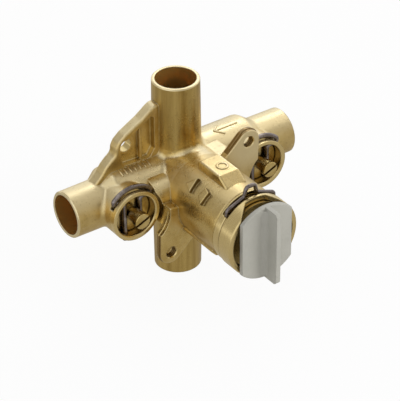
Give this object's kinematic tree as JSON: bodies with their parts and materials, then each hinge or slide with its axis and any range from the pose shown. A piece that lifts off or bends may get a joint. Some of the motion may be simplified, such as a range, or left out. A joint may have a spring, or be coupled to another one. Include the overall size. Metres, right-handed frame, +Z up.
{
  "type": "concealed shower valve body",
  "caption": "Cast brass concealed shower valve body with solder cups for the pipes, a capped pressure balancing cartridge in its barrel and screwdriver check stops.",
  "frame": {"origin": "where the inlet axis and the outlet axis cross, midway between the web screw holes", "axes": "+X towards the cold inlet, +Z up to the shower outlet, -Y out along the barrel"},
  "size_m": [0.1014, 0.0798, 0.0842],
  "materials": {
    "cast_brass": "sand-cast, satin",
    "machined_brass": "machined",
    "spring_wire": "dark wire",
    "grey_plastic": "satin moulded",
    "white_plastic": "moulded",
    "black_rubber": "moulded"
  },
  "bodies": {
    "body": {"valve_body": "cast_brass", "cartridge_shell": "machined_brass", "cartridge_end_plug": "white_plastic", "stem_o_ring": "black_rubber", "shell_front_o_ring": "black_rubber", "shell_rear_o_ring": "black_rubber", "cartridge_clip": "spring_wire", "stop_clips": "spring_wire", "hot_port_seal": "black_rubber", "hot_stop_bonnet": "machined_brass", "hot_stop_bonnet_ring": "black_rubber", "hot_stop_stem_seal": "black_rubber", "cold_port_seal": "black_rubber", "cold_stop_bonnet": "machined_brass", "cold_stop_bonnet_ring": "black_rubber", "cold_stop_stem_seal": "black_rubber"},
    "control": {"cartridge_stem": "white_plastic", "balance_cage": "white_plastic", "test_cap": "grey_plastic"},
    "spool": {"balance_spool": "machined_brass"},
    "hot_spindle": {"hot_stop_spindle": "machined_brass"},
    "hot_piston": {"hot_stop_piston": "white_plastic", "hot_stop_washer": "black_rubber"},
    "cold_spindle": {"cold_stop_spindle": "machined_brass"},
    "cold_piston": {"cold_stop_piston": "white_plastic", "cold_stop_washer": "black_rubber"}
  },
  "joints": [
    {"name": "control_turn", "type": "hinge", "parent": "body", "child": "control", "pos_m": [0, -0.05, 0], "axis": [0, -1, 0], "range_deg": [0, 270]},
    {"name": "spool_slide", "type": "slide", "parent": "control", "child": "spool", "axis": [0, 1, 0], "range_m": [-0.0012, 0.0012]},
    {"name": "hot_stop_turn", "type": "hinge", "parent": "body", "child": "hot_spindle", "pos_m": [-0.02973, -0.015, 0], "axis": [0, 1, 0], "range_deg": [0, 900]},
    {"name": "hot_stop_slide", "type": "slide", "parent": "body", "child": "hot_piston", "axis": [0, 1, 0], "range_m": [0, 0.0025]},
    {"name": "cold_stop_turn", "type": "hinge", "parent": "body", "child": "cold_spindle", "pos_m": [0.02973, -0.015, 0], "axis": [0, 1, 0], "range_deg": [0, 900]},
    {"name": "cold_stop_slide", "type": "slide", "parent": "body", "child": "cold_piston", "axis": [0, 1, 0], "range_m": [0, 0.0025]}
  ]
}
